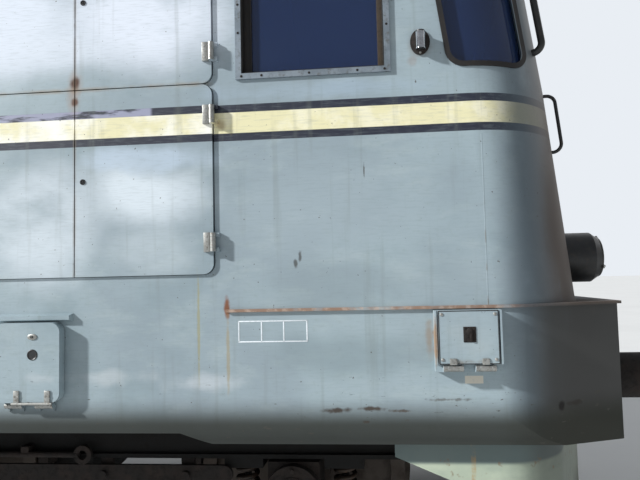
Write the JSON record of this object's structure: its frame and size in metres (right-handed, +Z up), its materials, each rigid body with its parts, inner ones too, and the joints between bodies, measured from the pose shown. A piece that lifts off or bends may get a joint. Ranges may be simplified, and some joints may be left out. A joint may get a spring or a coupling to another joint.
{
  "type": "diesel locomotive",
  "caption": "Main line diesel locomotive with a cab at each end, two bogies of three driven axles, side hatches, buffers and ploughs.",
  "frame": {"origin": "on the centre line midway between the bogie pivots, level with the tips of the wheel flanges", "axes": "+X along the track towards cab A, +Y to the far side, +Z up"},
  "size_m": [17, 3.172, 4.2728],
  "materials": {
    "grey_paint": "weathered grey-green coach enamel",
    "roof_paint": "matt dark grey enamel",
    "plough_paint": "pale green enamel, scuffed",
    "bogie_paint": "black enamel under brake dust",
    "bare_iron": "rusted casting",
    "wheel_steel": "rolled tread, dull sides",
    "spring_steel": "dark oiled steel",
    "frame_aluminium": "brushed, dull",
    "window_glass": "tinted safety glass",
    "lamp_metal": "dark enamel drum",
    "rail_steel": "black enamel",
    "seal_rubber": "matt black rubber",
    "inside_paint": "matt interior enamel",
    "seat_leather": "worn leathercloth",
    "engine_paint": "oily engine enamel",
    "fan_aluminium": "cast blades"
  },
  "bodies": {
    "body": {"underframe": "bogie_paint", "end_skirts": "grey_paint", "cab_shell_a": "grey_paint", "cab_shell_b": "grey_paint", "side_wall_near": "grey_paint", "side_wall_far": "grey_paint", "roof": "roof_paint", "roof_hatches": "roof_paint", "fan_ducts": "roof_paint", "exhaust": "bare_iron", "windscreens": "window_glass", "side_glass": "window_glass", "window_frames": "frame_aluminium", "window_rubbers": "seal_rubber", "louvres": "grey_paint", "engine_block": "engine_paint", "bulkheads": "inside_paint", "control_desks": "inside_paint", "seats": "seat_leather", "fuel_tank": "bogie_paint", "buffers": "bare_iron", "couplings": "bare_iron", "lamps": "lamp_metal", "handrails": "rail_steel", "ploughs": "plough_paint", "steps": "bogie_paint", "horns": "lamp_metal"},
    "door_near": {"entrance_door_near": "grey_paint", "door_pane_near": "window_glass"},
    "door_far": {"entrance_door_far": "grey_paint", "door_pane_far": "window_glass"},
    "flap_near": {"sand_flap_near": "grey_paint"},
    "flap_far": {"sand_flap_far": "grey_paint"},
    "cover_near": {"socket_cover_near": "grey_paint"},
    "cover_far": {"socket_cover_far": "grey_paint"},
    "fan_1": {"roof_fan_1": "fan_aluminium"},
    "fan_2": {"roof_fan_2": "fan_aluminium"},
    "leaf_lower_left": {"hatch_leaf_lower_left": "grey_paint"},
    "leaf_lower_right": {"hatch_leaf_lower_right": "grey_paint"},
    "leaf_upper_left": {"hatch_leaf_upper_left": "grey_paint"},
    "leaf_upper_right": {"hatch_leaf_upper_right": "grey_paint"},
    "bogie_a": {"bogie_frame_a": "bogie_paint", "axleboxes_a": "bare_iron", "springs_a": "spring_steel", "traction_motors_a": "bogie_paint", "brake_gear_a": "bare_iron"},
    "wheels_a1": {"wheelset_a1": "wheel_steel"},
    "wheels_a2": {"wheelset_a2": "wheel_steel"},
    "wheels_a3": {"wheelset_a3": "wheel_steel"},
    "bogie_b": {"bogie_frame_b": "bogie_paint", "axleboxes_b": "bare_iron", "springs_b": "spring_steel", "traction_motors_b": "bogie_paint", "brake_gear_b": "bare_iron"},
    "wheels_b1": {"wheelset_b1": "wheel_steel"},
    "wheels_b2": {"wheelset_b2": "wheel_steel"},
    "wheels_b3": {"wheelset_b3": "wheel_steel"}
  },
  "joints": [
    {"name": "bogie_a_turn", "type": "hinge", "parent": "body", "child": "bogie_a", "pos_m": [4.3, 0, 0.878], "axis": [0, 0, 1], "range_deg": [-2.5, 2.5]},
    {"name": "wheels_a1_spin", "type": "hinge", "parent": "bogie_a", "child": "wheels_a1", "pos_m": [2.25, 0, 0.578], "axis": [0, 1, 0], "continuous": true},
    {"name": "wheels_a2_spin", "type": "hinge", "parent": "bogie_a", "child": "wheels_a2", "pos_m": [4.3, 0, 0.578], "axis": [0, 1, 0], "continuous": true},
    {"name": "wheels_a3_spin", "type": "hinge", "parent": "bogie_a", "child": "wheels_a3", "pos_m": [6.35, 0, 0.578], "axis": [0, 1, 0], "continuous": true},
    {"name": "bogie_b_turn", "type": "hinge", "parent": "body", "child": "bogie_b", "pos_m": [-4.3, 0, 0.878], "axis": [0, 0, 1], "range_deg": [-2.5, 2.5]},
    {"name": "wheels_b1_spin", "type": "hinge", "parent": "bogie_b", "child": "wheels_b1", "pos_m": [-6.35, 0, 0.578], "axis": [0, 1, 0], "continuous": true},
    {"name": "wheels_b2_spin", "type": "hinge", "parent": "bogie_b", "child": "wheels_b2", "pos_m": [-4.3, 0, 0.578], "axis": [0, 1, 0], "continuous": true},
    {"name": "wheels_b3_spin", "type": "hinge", "parent": "bogie_b", "child": "wheels_b3", "pos_m": [-2.25, 0, 0.578], "axis": [0, 1, 0], "continuous": true},
    {"name": "door_far_swing", "type": "hinge", "parent": "body", "child": "door_far", "pos_m": [6.0375, 1.426, 2.373], "axis": [0, 0, 1], "range_deg": [0, 85]},
    {"name": "door_near_swing", "type": "hinge", "parent": "body", "child": "door_near", "pos_m": [-6.0375, -1.426, 2.373], "axis": [0, 0, 1], "range_deg": [0, 85]},
    {"name": "leaf_lower_left_swing", "type": "hinge", "parent": "body", "child": "leaf_lower_left", "pos_m": [4.7915, -1.526, 2.052], "axis": [0, 0, -1], "range_deg": [0, 110]},
    {"name": "leaf_lower_right_swing", "type": "hinge", "parent": "body", "child": "leaf_lower_right", "pos_m": [6.0705, -1.526, 2.052], "axis": [0, 0, 1], "range_deg": [0, 110]},
    {"name": "leaf_upper_left_swing", "type": "hinge", "parent": "body", "child": "leaf_upper_left", "pos_m": [4.7915, -1.526, 2.843], "axis": [0, 0, -1], "range_deg": [0, 110]},
    {"name": "leaf_upper_right_swing", "type": "hinge", "parent": "body", "child": "leaf_upper_right", "pos_m": [6.0705, -1.526, 2.843], "axis": [0, 0, 1], "range_deg": [0, 110]},
    {"name": "flap_near_drop", "type": "hinge", "parent": "body", "child": "flap_near", "pos_m": [5.229, -1.519, 1.066], "axis": [1, 0, 0], "range_deg": [0, 100]},
    {"name": "cover_near_drop", "type": "hinge", "parent": "body", "child": "cover_near", "pos_m": [7.143, -1.565, 1.22], "axis": [1, 0, 0], "range_deg": [0, 100]},
    {"name": "flap_far_drop", "type": "hinge", "parent": "body", "child": "flap_far", "pos_m": [-5.229, 1.519, 1.066], "axis": [-1, 0, 0], "range_deg": [0, 100]},
    {"name": "cover_far_drop", "type": "hinge", "parent": "body", "child": "cover_far", "pos_m": [-7.143, 1.565, 1.22], "axis": [-1, 0, 0], "range_deg": [0, 100]},
    {"name": "fan_1_spin", "type": "hinge", "parent": "body", "child": "fan_1", "pos_m": [-4.65, 0, 3.688], "axis": [0, 0, 1], "continuous": true},
    {"name": "fan_2_spin", "type": "hinge", "parent": "body", "child": "fan_2", "pos_m": [-3.45, 0, 3.688], "axis": [0, 0, 1], "continuous": true}
  ]
}
